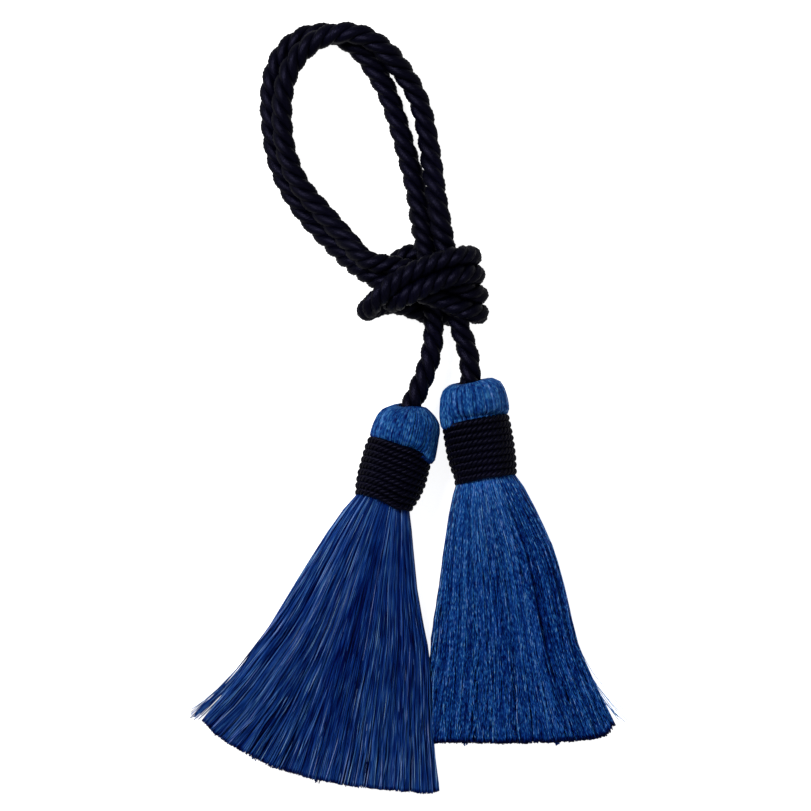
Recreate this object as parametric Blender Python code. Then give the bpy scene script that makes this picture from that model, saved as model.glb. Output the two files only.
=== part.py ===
# A pair of yarn tassels on one doubled twisted cord, lying flat on a surface.
# The cord runs from one tassel, up and round the hanging loop, through the knot to its folded
# middle, and back the same way to the other tassel. +Y points from the tassels to the loop, +Z is up.

import bpy
import numpy as np
from math import cos, pi, radians, sin

MM = 0.001                       # every size below is in millimetres

# Cord
CORD_RADIUS = 3.25
KNOT_RADIUS = 2.95               # the cord is squeezed where the knot is pulled tight
KNOT_CENTRE = (5.6, 38.0)
KNOT_HALF_SIZE = (20.0, 13.0)
KNOT_EASING = 0.45               # the cord regains its full radius over this share of the knot's size
CORD_GAP = 0.35                  # between two passes of the cord
ROUTE_STEP = 1.6                 # spacing of the points while the passes are settled on each other
SETTLE_ROUNDS = 300
SETTLE_STIFFNESS = 0.25
SETTLE_HOMING = 0.01
CONTACT_SHARE = 0.35             # a point that many others push moves less for each of them
PINNED_POINTS = 4                # at each end, inside the tassel's socket
NEAREST_ALONG = 11.0             # shorter stretches of cord can't touch themselves
LONGEST_CHORD = 8.0
LARGEST_TURN = radians(21)
CORD_FACETS = 3                  # bevel resolution: ten sides

# Tassels
CLEARANCE = 0.3
COLLAR_WALL = 1.6
SOCKET_RADIUS = CORD_RADIUS + 0.45
SOCKET_DEPTH = 2.8
SOCKET_RIM = 0.2
HEAD_CENTRE_HEIGHT = 10.8
LOCKS = 12                       # the skirt's yarn lies in this many locks across its width
LOCK_DEPTH = 1.0
LOCK_NOTCH = 1.4
WIDEST_AT_COLLAR = 0.5           # how far up its sides the skirt is widest, as a share of its height
WIDEST_AT_HEM = 0.3
HEM_FLATNESS = 3.0
SMOOTH_UNDER = radians(50)
COLLAR_SIDES = 40

# The cord's route, from the tassel to the folded middle of the cord: x, y and height of its centre.
# The back cord lies under the front one in the loop.
BACK_CORD = {
    "tassel leg": [(0.9, -1.6, 10.7), (1.5, 0.8, 10.7), (3.2, 4.5, 10.5), (5.6, 10.4, 10.1),
                   (7.5, 16.6, 9.6), (8.2, 22.8, 9.3)],
    "through the knot": [(8.1, 28.4, 9.3), (7.4, 35.5, 9.3), (6.6, 42.3, 9.3), (5.6, 50.1, 8.8)],
    "right leg": [(4.4, 56.6, 6.2), (3.2, 64.6, 4.2), (1.6, 72.7, 3.3), (-0.3, 79.5, 3.3),
                  (-2.7, 87.9, 3.3), (-5.4, 95.9, 3.3), (-8.5, 102.6, 3.3)],
    "loop top": [(-12.7, 108.7, 3.3), (-17.4, 113.2, 3.3), (-23.0, 115.8, 3.3), (-28.5, 116.2, 3.3),
                 (-34.1, 114.2, 3.3), (-38.5, 110.2, 3.3)],
    "left leg": [(-41.1, 105.2, 3.3), (-42.5, 98.7, 3.3), (-42.6, 92.5, 3.3), (-42.0, 84.8, 3.3),
                 (-40.5, 77.0, 3.3), (-37.8, 69.9, 3.3), (-34.0, 63.4, 3.3), (-29.3, 57.2, 3.3),
                 (-24.4, 52.1, 4.2), (-19.8, 47.3, 7.4)],
    "first crossing": [(-15.2, 43.4, 11.4), (-10.5, 41.0, 14.4), (-5.6, 38.9, 15.6), (-0.6, 37.4, 15.5),
                       (5.3, 35.2, 15.5), (11.4, 33.0, 15.5), (17.0, 30.8, 14.8)],
    "down the right": [(21.1, 29.6, 12.4), (22.6, 29.0, 8.8), (21.1, 29.0, 5.0), (17.0, 28.4, 3.0)],
    "behind": [(10.8, 28.1, 3.0), (5.3, 29.0, 3.0), (0.3, 31.2, 3.0), (-4.7, 32.1, 3.0),
               (-8.7, 31.2, 4.0)],
    "up the left": [(-11.5, 29.9, 7.5), (-12.4, 29.6, 12.0), (-11.8, 30.5, 17.0), (-9.3, 32.7, 20.8)],
    "front wrap": [(-5.3, 35.8, 21.7), (-1.0, 38.9, 21.7), (3.7, 41.5, 21.7), (9.0, 44.2, 21.7),
                   (13.6, 46.0, 21.2)],
    "down the top right": [(18.0, 46.5, 18.4), (19.8, 46.3, 13.0), (19.5, 46.3, 7.5), (16.7, 46.3, 3.8)],
    "tucked behind": [(12.1, 46.5, 3.0), (7.1, 46.8, 3.0), (2.2, 47.3, 3.0)],
}
FRONT_CORD = {
    "tassel leg": [(19.9, 5.4, 10.7), (19.6, 7.9, 10.7), (19.5, 12.2, 10.4), (18.6, 18.1, 9.8),
                   (16.6, 23.7, 9.4)],
    "through the knot": [(15.0, 29.3, 9.3), (14.1, 35.5, 9.3), (13.1, 42.3, 9.6), (11.8, 49.8, 11.6)],
    "right leg": [(10.3, 56.6, 10.8), (9.1, 64.6, 9.0), (8.0, 72.7, 7.2), (6.9, 80.4, 5.6),
                  (5.1, 90.1, 4.6), (2.4, 98.1, 4.8), (-1.9, 104.6, 5.8)],
    "loop top": [(-5.9, 109.6, 7.9), (-11.5, 114.1, 9.6), (-17.7, 115.9, 10.1), (-23.6, 115.4, 10.1),
                 (-29.8, 112.4, 9.6), (-34.3, 108.0, 9.2)],
    "left leg": [(-37.2, 102.5, 9.2), (-38.5, 96.6, 9.2), (-38.8, 90.4, 9.2), (-38.2, 82.0, 9.2),
                 (-36.1, 74.6, 9.2), (-32.5, 67.5, 9.2), (-27.2, 61.5, 9.4), (-22.2, 55.5, 10.6),
                 (-17.0, 49.8, 13.4)],
    "first crossing": [(-13.2, 44.8, 16.6), (-9.0, 43.0, 16.6), (-3.7, 42.1, 15.8), (1.8, 41.2, 15.5),
                       (7.4, 39.5, 15.5), (13.6, 37.4, 15.4), (18.6, 35.5, 14.2)],
    "down the right": [(21.7, 34.3, 11.5), (22.3, 34.3, 8.0), (20.4, 34.6, 4.6), (16.1, 34.7, 3.0)],
    "behind": [(10.5, 34.9, 3.0), (5.6, 35.2, 3.8), (0.9, 35.2, 6.5), (-2.5, 34.1, 9.8)],
    "up the left": [(-4.7, 33.0, 14.0), (-4.4, 33.0, 18.5), (-2.2, 34.3, 21.2)],
    "front wrap": [(1.8, 36.1, 21.7), (6.8, 38.0, 21.7), (12.1, 39.5, 21.6), (17.3, 40.6, 19.8)],
    "down the top right": [(20.1, 40.6, 15.5), (20.9, 40.3, 10.0), (19.1, 40.6, 5.0), (15.2, 40.8, 3.0)],
    "tucked behind": [(9.6, 40.9, 3.0), (4.2, 41.1, 3.0)],
}
CORD_FOLD = [(-1.6, 46.9, 3.0), (-3.7, 44.3, 3.0), (-1.2, 41.5, 3.0)]

# Each tassel: where the cord enters its head, the way its skirt points (degrees from -Y towards +X),
# and rows along that way. Head and collar rows: along, left, right.
# Skirt rows: along, left, right, low, high, flatness. Left and right are half widths seen from above.
TASSELS = {
    "left": {
        "hole": (1.5, 0.8),
        "direction": -15.5,
        "head": [(0.0, 4.4, 4.6), (1.0, 5.6, 6.4), (2.4, 6.9, 8.5), (4.0, 8.2, 9.9), (6.2, 9.3, 10.7),
                 (9.5, 9.9, 10.9), (12.4, 9.9, 10.8), (13.6, 9.4, 10.0)],
        "collar": [(14.0, 10.0, 10.0), (14.8, 10.6, 10.7), (19.0, 10.7, 10.9), (24.0, 10.7, 10.9),
                   (28.0, 10.4, 10.2), (30.4, 9.9, 9.2), (31.0, 9.3, 8.6)],
        "skirt": [(31.5, 9.5, 8.8, 1.0, 20.4, 1.0), (35.0, 10.8, 9.7, 0.5, 19.6, 1.3),
                  (40.0, 13.3, 11.3, 0.0, 18.2, 2.0), (48.0, 15.5, 14.6, 0.0, 16.2, 3.0),
                  (56.0, 18.0, 17.6, 0.0, 14.6, 3.0), (64.0, 20.3, 21.6, 0.0, 13.3, 3.0),
                  (74.0, 23.0, 26.2, 0.0, 12.0, 3.0), (84.0, 26.1, 29.3, 0.0, 10.9, 3.0),
                  (94.0, 30.5, 32.4, 0.0, 9.8, 3.0), (104.0, 35.5, 35.6, 0.0, 8.8, 3.0)],
        "hem": {"left": 38.0, "right": 39.4, "high": 8.0, "start": 112.3, "middle": 120.4, "end": 113.2},
    },
    "right": {
        "hole": (19.5, 7.9),
        "direction": 8.3,
        "head": [(0.0, 4.5, 4.7), (0.2, 6.4, 7.0), (1.6, 8.6, 9.4), (4.0, 9.8, 10.3), (6.8, 10.4, 10.7),
                 (9.5, 10.6, 10.8), (10.8, 10.4, 10.6), (11.4, 9.8, 10.0)],
        "collar": [(11.8, 10.0, 10.0), (12.6, 10.6, 10.6), (17.0, 10.7, 10.8), (22.0, 10.6, 10.9),
                   (26.0, 10.0, 10.8), (28.6, 9.5, 10.5), (29.2, 9.0, 10.0)],
        "skirt": [(29.7, 9.4, 10.4, 1.0, 20.4, 1.0), (33.5, 10.2, 11.4, 0.5, 19.6, 1.3),
                  (39.0, 12.3, 13.4, 0.0, 18.2, 2.0), (47.0, 15.0, 16.1, 0.0, 16.2, 3.0),
                  (56.0, 17.8, 18.5, 0.0, 14.4, 3.0), (65.0, 20.5, 19.8, 0.0, 13.1, 3.0),
                  (75.0, 22.8, 20.6, 0.0, 11.9, 3.0), (85.0, 24.4, 21.4, 0.0, 10.9, 3.0),
                  (95.0, 25.6, 23.9, 0.0, 9.8, 3.0), (104.0, 26.4, 26.6, 0.0, 8.9, 3.0)],
        "hem": {"left": 26.9, "right": 29.4, "high": 8.0, "start": 109.6, "middle": 114.9, "end": 114.4},
    },
}
LEAN = 0.12                      # the collar's rings lean back: their tops lie nearer the cord
LEAN_START = 2.0                 # the lean grows from here to the collar, and fades over the skirt
LEAN_FULL = 11.0
LEAN_FADE = 30.0

MATERIALS = {                    # colour, roughness, metallic
    "navy cord": ((0.008, 0.008, 0.028), 0.50, 0.0),
    "blue yarn": ((0.012, 0.075, 0.300), 0.42, 0.0),
    "navy binding": ((0.007, 0.007, 0.020), 0.50, 0.0),
}


def clear_scene():
    for item in list(bpy.data.objects):
        bpy.data.objects.remove(item, do_unlink=True)


def make_material(name):
    colour, roughness, metallic = MATERIALS[name]
    material = bpy.data.materials.new(name)
    material.use_nodes = True
    shader = material.node_tree.nodes["Principled BSDF"]
    shader.inputs["Base Color"].default_value = (*colour, 1.0)
    shader.inputs["Roughness"].default_value = roughness
    shader.inputs["Metallic"].default_value = metallic
    return material


# The cord ---------------------------------------------------------------------------------------

def route_points():
    """The whole route from the left tassel, through the fold, to the right tassel."""
    back = [point for stretch in BACK_CORD.values() for point in stretch]
    front = [point for stretch in FRONT_CORD.values() for point in stretch]
    return np.array(back + CORD_FOLD + front[::-1])


def even_spacing(points, step):
    along = np.r_[0, np.cumsum(np.linalg.norm(np.diff(points, axis=0), axis=1))]
    places = np.linspace(0, along[-1], int(round(along[-1] / step)) + 1)
    return np.stack([np.interp(places, along, points[:, axis]) for axis in range(3)], axis=1)


def smooth_curve(points, step, parts=12):
    """A Catmull-Rom curve through the points, at even steps."""
    ends = np.vstack([2 * points[0] - points[1], points, 2 * points[-1] - points[-2]])
    t = np.linspace(0, 1, parts, endpoint=False)[:, None]
    curve = []
    for before, start, end, after in zip(ends, ends[1:], ends[2:], ends[3:]):
        curve.append(0.5 * (2 * start + (end - before) * t
                            + (2 * before - 5 * start + 4 * end - after) * t ** 2
                            + (3 * start - before - 3 * end + after) * t ** 3))
    return even_spacing(np.vstack(curve + [points[-1:]]), step)


def cord_radii(points):
    from_knot = (points[:, :2] - KNOT_CENTRE) / KNOT_HALF_SIZE
    t = np.clip((np.linalg.norm(from_knot, axis=1) - 1) / KNOT_EASING, 0, 1)
    return KNOT_RADIUS + (CORD_RADIUS - KNOT_RADIUS) * t * t * (3 - 2 * t)


def settle_passes(route):
    """Ease the route's bends, and push its passes apart until they only rest on each other."""
    points = route.copy()
    count = len(points)
    first, second = np.triu_indices(count, int(NEAREST_ALONG / ROUTE_STEP))
    for _ in range(SETTLE_ROUNDS):
        radii = cord_radii(points)
        bend = np.zeros_like(points)
        bend[1:-1] = (points[:-2] + points[2:]) / 2 - points[1:-1]
        stiff = np.zeros_like(points)
        stiff[1:-1] = (bend[:-2] + bend[2:]) / 2 - bend[1:-1]
        points -= SETTLE_STIFFNESS * stiff
        for _ in range(3):
            apart = points[second] - points[first]
            distance = np.linalg.norm(apart, axis=1)
            missing = radii[first] + radii[second] + CORD_GAP - distance
            close = missing > 0
            i, j = first[close], second[close]
            push = apart[close] * (missing[close] / distance[close] / 4)[:, None]
            contacts = np.bincount(i, minlength=count) + np.bincount(j, minlength=count)
            move = np.zeros_like(points)
            np.add.at(move, i, -push)
            np.add.at(move, j, push)
            points += move / np.maximum(1, CONTACT_SHARE * contacts)[:, None]
        points[:, 2] = np.maximum(points[:, 2], radii + 0.01)
        points += (route - points) * SETTLE_HOMING
        points[:PINNED_POINTS] = route[:PINNED_POINTS]
        points[-PINNED_POINTS:] = route[-PINNED_POINTS:]
    return points


def fewer_points(points):
    """Keep a point wherever the cord has turned or run far enough since the last one."""
    steps = np.diff(points, axis=0)
    ways = steps / np.linalg.norm(steps, axis=1)[:, None]
    kept = [0]
    turned = 0.0
    for index in range(1, len(points) - 1):
        turned += np.arccos(np.clip(ways[index - 1] @ ways[index], -1, 1))
        run = (index - kept[-1] + 1) * ROUTE_STEP
        if turned > LARGEST_TURN or run > LONGEST_CHORD:
            kept.append(index)
            turned = 0.0
    return kept + [len(points) - 1]


def make_cord(material):
    route = settle_passes(smooth_curve(route_points(), ROUTE_STEP))
    kept = fewer_points(route)
    radii = cord_radii(route)
    curve = bpy.data.curves.new("cord", "CURVE")
    curve.dimensions = "3D"
    curve.bevel_depth = CORD_RADIUS * MM
    curve.bevel_resolution = CORD_FACETS
    curve.use_fill_caps = True
    spline = curve.splines.new("POLY")
    spline.points.add(len(kept) - 1)
    for point, index in zip(spline.points, kept):
        point.co = (*(route[index] * MM), 1)
        point.radius = radii[index] / CORD_RADIUS
    spline.use_smooth = True
    curve.materials.append(material)
    cord = bpy.data.objects.new("cord", curve)
    bpy.context.collection.objects.link(cord)
    return cord


# The tassels ------------------------------------------------------------------------------------

def lean_at(along, collar_end):
    grow = np.clip((along - LEAN_START) / (LEAN_FULL - LEAN_START), 0, 1)
    fade = np.clip((along - collar_end) / LEAN_FADE, 0, 1)
    return LEAN * grow * (1 - fade)


def round_row(along, left, right):
    """A skirt row for a round section, which is as high as it is wide."""
    half = (left + right) / 2
    return (along, left, right, HEAD_CENTRE_HEIGHT - half, HEAD_CENTRE_HEIGHT + half, 1.0)


def ring(row, count, collar_end, depth=0.0, middle=None):
    """One section across the tassel, seen along it: right edge, over the top, left edge, underneath.

    Returns rows of along, across and height. Flatness 1 is round; more presses the underside flat.
    """
    along, left, right, low, high, flatness = row
    angle = np.linspace(0, 2 * pi, count, endpoint=False)
    rise = np.sin(angle)
    centre = (right - left) / 2
    across = centre + (left + right) / 2 * np.cos(angle)
    if middle is None:
        middle = (low + high) / 2
    under = np.minimum(1, -rise * flatness)
    height = np.where(rise > 0, middle + (high - middle) * rise, middle - (middle - low) * under)
    groove = (np.arange(count) % 2 == 1) & (rise > 0)
    height[groove] -= depth
    shift = lean_at(along, collar_end) * (height - HEAD_CENTRE_HEIGHT)
    return np.stack([along - shift, across, height], axis=1)


def place(points, tassel):
    """From along, across and height to the part's own axes."""
    turn = radians(tassel["direction"])
    along = np.array([sin(turn), -cos(turn)])
    across = np.array([cos(turn), sin(turn)])
    flat = np.array(tassel["hole"]) + points[:, :1] * along + points[:, 1:2] * across
    return np.column_stack([flat, points[:, 2]])


def build_mesh(name, rings, faces, tassel, material):
    points = place(np.vstack(rings), tassel) * MM
    mesh = bpy.data.meshes.new(name)
    mesh.from_pydata(points.tolist(), [], faces)
    mesh.materials.append(material)
    mesh.validate()
    mesh.shade_smooth()
    mesh.set_sharp_from_angle(angle=SMOOTH_UNDER)
    item = bpy.data.objects.new(name, mesh)
    bpy.context.collection.objects.link(item)
    return item


def bridge(first, second, count):
    """Faces between two rings, given the index of each ring's first point."""
    return [(first + k, first + (k + 1) % count, second + (k + 1) % count, second + k)
            for k in range(count)]


def hem_ring(hem, count):
    """The skirt's cut end: a bowed row of locks, each with its own tip."""
    row = (0.0, hem["left"], hem["right"], 0.0, hem["high"], HEM_FLATNESS)
    points = ring(row, count, 0.0, LOCK_DEPTH, WIDEST_AT_HEM * hem["high"])
    half_width = (hem["left"] + hem["right"]) / 2
    sideways = (points[:, 1] - (hem["right"] - hem["left"]) / 2) / half_width
    ends = (hem["start"] + hem["end"]) / 2
    bow = np.clip(1 - sideways ** 2, 0, 1)
    points[:, 0] = ends + (hem["end"] - hem["start"]) / 2 * sideways + (hem["middle"] - ends) * bow
    column = np.minimum(np.arange(count), count - np.arange(count))
    points[:, 0] -= np.where(column % 2 == 1, LOCK_NOTCH, 0) * np.sqrt(bow)
    return points


def make_yarn(side, tassel, material):
    """Head, neck and skirt: one bundle of yarn, with the cord's socket in the head."""
    count = 4 * LOCKS
    collar_end = tassel["collar"][-1][0]
    neck = [(along, left - COLLAR_WALL - CLEARANCE, right - COLLAR_WALL - CLEARANCE)
            for along, left, right in tassel["collar"]]
    under_head = (tassel["head"][-1][0], *neck[0][1:])
    above_skirt = (tassel["skirt"][0][0], *neck[-1][1:])
    socket = [(SOCKET_DEPTH, SOCKET_RADIUS, SOCKET_RADIUS), (SOCKET_RIM, SOCKET_RADIUS, SOCKET_RADIUS)]
    round_rows = [*socket, *tassel["head"], under_head, *neck[1:-1], above_skirt]
    rings = [ring(round_row(*row), count, collar_end) for row in round_rows]

    for step, row in enumerate(tassel["skirt"]):
        share = step / len(tassel["skirt"])
        widest = WIDEST_AT_COLLAR + (WIDEST_AT_HEM - WIDEST_AT_COLLAR) * share
        middle = row[3] + (row[4] - row[3]) * widest
        rings.append(ring(row, count, collar_end, LOCK_DEPTH * share, middle))
    rings.append(hem_ring(tassel["hem"], count))

    faces = [tuple(reversed(range(count)))]
    for step in range(len(rings) - 1):
        faces += bridge(step * count, (step + 1) * count, count)
    end = (len(rings) - 1) * count
    for k in range(count // 2):
        under, under_next = end + (count - k) % count, end + count - k - 1
        corners = [end + k, end + k + 1, under_next, under]
        faces.append(tuple(dict.fromkeys(corners)))
    return build_mesh(f"{side}_tassel_yarn", rings, faces, tassel, material)


def make_collar(side, tassel, material):
    """The wound binding round the neck, as a closed band."""
    count = COLLAR_SIDES
    rows = tassel["collar"]
    collar_end = rows[-1][0]
    inner = [(along, left - COLLAR_WALL, right - COLLAR_WALL) for along, left, right in rows[::-1]]
    profile = [ring(round_row(*row), count, collar_end) for row in [*rows, *inner]]
    faces = []
    for step in range(len(profile)):
        following = (step + 1) % len(profile)
        faces += bridge(step * count, following * count, count)
    return build_mesh(f"{side}_tassel_collar", profile, faces, tassel, material)


def main():
    clear_scene()
    materials = {name: make_material(name) for name in MATERIALS}
    make_cord(materials["navy cord"])
    for side, tassel in TASSELS.items():
        make_yarn(side, tassel, materials["blue yarn"])
        make_collar(side, tassel, materials["navy binding"])


main()
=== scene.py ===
# Looks of a pair of yarn tassels on one doubled twisted cord, lying on a pale table.
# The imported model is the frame, and every piece here takes its place from it. Sizes are in millimetres
# unless a note says otherwise, and mm turns them to Blender's metres.

from math import cos, pi, radians, sin

import bpy
import numpy as np
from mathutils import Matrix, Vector
from mathutils.bvhtree import BVHTree


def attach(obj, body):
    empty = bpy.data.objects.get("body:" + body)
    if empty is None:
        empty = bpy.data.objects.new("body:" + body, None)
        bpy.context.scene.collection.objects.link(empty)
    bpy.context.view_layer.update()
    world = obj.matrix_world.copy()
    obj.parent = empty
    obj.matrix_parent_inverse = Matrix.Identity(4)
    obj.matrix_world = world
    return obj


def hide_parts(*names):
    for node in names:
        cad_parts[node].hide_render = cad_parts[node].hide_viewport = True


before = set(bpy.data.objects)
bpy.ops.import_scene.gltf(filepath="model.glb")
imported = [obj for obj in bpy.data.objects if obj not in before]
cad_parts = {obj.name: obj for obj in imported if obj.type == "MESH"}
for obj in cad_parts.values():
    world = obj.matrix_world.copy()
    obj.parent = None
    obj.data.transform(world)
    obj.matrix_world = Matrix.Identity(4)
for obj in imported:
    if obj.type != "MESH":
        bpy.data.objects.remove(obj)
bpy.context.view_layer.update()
mm = 0.001
body = "root"


# Small helpers: colours, nodes, meshes

def hexColour(value):
    # sRGB hex to linear
    channels = np.array([int(value[i:i + 2], 16) / 255 for i in (1, 3, 5)])
    linear = np.where(channels <= 0.04045, channels / 12.92, ((channels + 0.055) / 1.055) ** 2.4)
    return (*linear.tolist(), 1.0)


def addNode(tree, kind, settings=None, inputs=None, links=None, stops=None):
    # inputs are values by socket name or number, links are (socket, node, output), and stops are the
    # (place, hex) of a colour ramp
    node = tree.nodes.new(kind)
    for key, value in (settings or {}).items():
        setattr(node, key, value)
    for key, value in (inputs or {}).items():
        node.inputs[key].default_value = value
    for socket, source, output in links or []:
        tree.links.new(source.outputs[output], node.inputs[socket])
    elements = node.color_ramp.elements if stops else []
    while len(elements) < len(stops or []):
        elements.new(0.5)
    for element, (place, colour) in zip(elements, stops or []):
        element.position = place
        element.color = hexColour(colour)
    return node


def newMaterial(name):
    material = bpy.data.materials.new(name)
    material.use_nodes = True
    return material, material.node_tree, material.node_tree.nodes["Principled BSDF"]


def unit(vectors):
    return vectors / np.maximum(np.linalg.norm(vectors, axis=-1, keepdims=True), 1e-12)


def rampUp(values, begins, over):
    # 0 up to begins, and 1 from begins + over
    return np.clip((values - begins) / over, 0, 1)


def makeMesh(name, points, faces, attributes=None):
    # faces is a list of arrays, each with rows of corner numbers
    mesh = bpy.data.meshes.new(name)
    mesh.vertices.add(len(points))
    mesh.vertices.foreach_set("co", np.asarray(points, np.float32).ravel())
    corners = np.concatenate([rows.ravel() for rows in faces])
    sizes = np.concatenate([np.full(len(rows), rows.shape[1]) for rows in faces])
    mesh.loops.add(len(corners))
    mesh.loops.foreach_set("vertex_index", corners.astype(np.int32))
    mesh.polygons.add(len(sizes))
    mesh.polygons.foreach_set("loop_start", np.r_[0, np.cumsum(sizes)[:-1]].astype(np.int32))
    mesh.update(calc_edges=True)
    mesh.validate()
    mesh.shade_smooth()
    for key, values in (attributes or {}).items():
        layer = mesh.attributes.new(key, "FLOAT", "POINT")
        layer.data.foreach_set("value", np.asarray(values, np.float32).ravel())
    piece = bpy.data.objects.new(name, mesh)
    bpy.context.scene.collection.objects.link(piece)
    return piece


def ringQuads(rings, count):
    # the faces between rings of count points each
    here, after = np.arange(count), (np.arange(count) + 1) % count
    first = np.arange(rings - 1)[:, None] * count
    quads = [first + here, first + after, first + count + after, first + count + here]
    return np.stack(quads, axis=-1).reshape(-1, 4)


def tubes(paths, radius, sides, sideways, section=None):
    # closed tubes along many paths at once: paths is [tube, point, xyz], radius broadcasts to
    # [tube, point], sideways is a vector across each path, section scales the radius around the tube
    count, steps, _ = paths.shape
    ways = unit(np.gradient(paths, axis=1))
    outward = unit(np.cross(ways, np.broadcast_to(sideways, paths.shape)))
    across = np.cross(outward, ways)
    angle = np.linspace(0, 2 * pi, sides, endpoint=False)
    size = np.broadcast_to(radius, (count, steps))[:, :, None, None]
    if section is not None:
        size = size * section[..., None]
    ring = (np.cos(angle)[:, None] * outward[:, :, None, :]
            + np.sin(angle)[:, None] * across[:, :, None, :])
    points = paths[:, :, None, :] + size * ring
    start = np.arange(count)[:, None] * steps * sides
    quads = start[..., None] + ringQuads(steps, sides)
    around = np.arange(sides)
    caps = [start + around[::-1], start + (steps - 1) * sides + around]
    return points.reshape(-1, 3), [quads.reshape(-1, 4), *caps]


def finishPiece(piece, material, node=None):
    piece.data.materials.append(material)
    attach(piece, body)
    if node:
        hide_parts(node)


def makeThreads(name, paths, radius, sides, sideways, tones, rng, material, node=None, twist=1.0):
    # many threads as one piece; each vertex has its thread's tone and number, and how far along it is
    points, faces = tubes(paths, radius, sides, sideways)
    steps = np.linalg.norm(np.diff(paths, axis=1, prepend=paths[:, :1]), axis=2)
    count = len(paths)
    layers = {
        "tone": np.broadcast_to(np.reshape(tones, (count, -1)), steps.shape),
        "run": np.cumsum(steps, axis=1) * twist,
        "strand": np.broadcast_to(rng.random(count)[:, None], steps.shape),
    }
    layers = {key: np.repeat(values[:, :, None], sides, axis=2) for key, values in layers.items()}
    finishPiece(makeMesh(name, points * mm, faces, layers), material, node)


# Camera: straight above, through a long lens

view = {
    "centre": (-0.49, 0.31),     # what the lens looks at
    "width": 251.4,              # across the picture, at the height of the tassels
    "height": 10.0,
    "distance": 1400.0,
    "sensor": 36.0,
    "reach": 10.0,               # in metres, how far the lens sees
}


def makeCamera():
    lens = bpy.data.cameras.new("camera")
    lens.sensor_width = view["sensor"]
    lens.lens = view["sensor"] * view["distance"] / view["width"]
    lens.clip_end = view["reach"]
    camera = bpy.data.objects.new("camera", lens)
    camera.location = (view["centre"][0] * mm, view["centre"][1] * mm,
                       (view["height"] + view["distance"]) * mm)
    bpy.context.scene.collection.objects.link(camera)
    bpy.context.scene.camera = camera


makeCamera()
print("camera: straight above, long lens")


# Cord: three plies, laid up left-handed

cord = {
    "radius": 3.25,
    "knotRadius": 2.95,          # squeezed where the knot is pulled tight
    "knotCentre": (5.6, 38.0),
    "knotHalfSize": (20.0, 13.0),
    "knotEasing": 0.45,          # back to the full radius over this share of the knot's size
    "gap": -0.15,                # two passes press into each other a little
    "aboveTable": 0.01,
    "routeStep": 1.6,
    "settleRounds": 300,
    "settlePushes": 3,           # in each round
    "settleStiffness": 0.25,
    "settleHoming": 0.01,
    "contactShare": 0.35,        # a point that many others push moves less for each of them
    "pinnedPoints": 4,           # at each end, inside the head
    "nearestAlong": 11.0,        # shorter stretches can't touch themselves
    "plies": 3,
    "lay": 16.4,                 # one turn of the plies
    "knotLay": 12.16,            # tighter, where tying the knot has twisted them up
    "crest": 0.24,               # the plies stand this far proud of the frame's round cord
    "knotCrest": 0.16,           # and this much more in the knot, which squeezes them out
    "plyShare": 0.53,            # a ply's radius as a share of the rope's, as plies squash together
    "yarns": 8,                  # that ridge each ply
    "yarnLay": 15.0,             # they twist the other way
    "yarnRelief": 0.07,
    # where two passes lie close and the plies spread: x, y, how far round it, how much more
    "swells": [(-6.5, 105.6, 5.0, 0.45), (4.6, 75.0, 5.0, 0.20), (6.8, 56.5, 7.0, 0.35)],
    "plySides": 32,
    "filamentRun": 0.45,         # how much of the filaments' noise each mm down a yarn passes
    "drawStep": 1.0,
}

# the route, from a tassel to the cord's folded middle: x, y and height of its centre
backCord = {
    "tassel leg": [(0.9, -1.6, 10.7), (1.5, 0.8, 10.7), (3.2, 4.5, 10.5), (5.6, 10.4, 10.1),
                   (7.5, 16.6, 9.6), (8.2, 22.8, 9.3)],
    "through the knot": [(8.1, 28.4, 9.3), (7.4, 35.5, 9.3), (6.6, 42.3, 9.3), (5.6, 50.1, 8.8)],
    "right leg": [(4.4, 56.6, 6.2), (3.2, 64.6, 4.2), (1.6, 72.7, 3.3), (-0.3, 79.5, 3.3),
                  (-2.7, 87.9, 3.3), (-5.4, 95.9, 3.3), (-8.5, 102.6, 3.3)],
    "loop top": [(-12.7, 108.7, 3.3), (-17.4, 113.2, 3.3), (-23.0, 115.8, 3.3), (-28.5, 116.2, 3.3),
                 (-34.1, 114.2, 3.3), (-38.5, 110.2, 3.3)],
    "left leg": [(-41.1, 105.2, 3.3), (-42.5, 98.7, 3.3), (-42.6, 92.5, 3.3), (-42.0, 84.8, 3.3),
                 (-40.5, 77.0, 3.3), (-37.8, 69.9, 3.3), (-34.0, 63.4, 3.3), (-29.3, 57.2, 3.3),
                 (-24.4, 52.1, 4.2), (-19.8, 47.3, 7.4)],
    "first crossing": [(-15.2, 43.4, 11.4), (-10.5, 41.0, 14.4), (-5.6, 38.9, 15.6), (-0.6, 37.4, 15.5),
                       (5.3, 35.2, 15.5), (11.4, 33.0, 15.5), (17.0, 30.8, 14.8)],
    "down the right": [(21.1, 29.6, 12.4), (22.6, 29.0, 8.8), (21.1, 29.0, 5.0), (17.0, 28.4, 3.0)],
    "behind": [(10.8, 28.1, 3.0), (5.3, 29.0, 3.0), (0.3, 31.2, 3.0), (-4.7, 32.1, 3.0),
               (-8.7, 31.2, 4.0)],
    "up the left": [(-11.5, 29.9, 7.5), (-12.4, 29.6, 12.0), (-11.8, 30.5, 17.0), (-9.3, 32.7, 20.8)],
    "front wrap": [(-5.3, 35.8, 21.7), (-1.0, 38.9, 21.7), (3.7, 41.5, 21.7), (9.0, 44.2, 21.7),
                   (13.6, 46.0, 21.2)],
    "down the top right": [(18.0, 46.5, 18.4), (19.8, 46.3, 13.0), (19.5, 46.3, 7.5), (16.7, 46.3, 3.8)],
    "tucked behind": [(12.1, 46.5, 3.0), (7.1, 46.8, 3.0), (2.2, 47.3, 3.0)],
}
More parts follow.
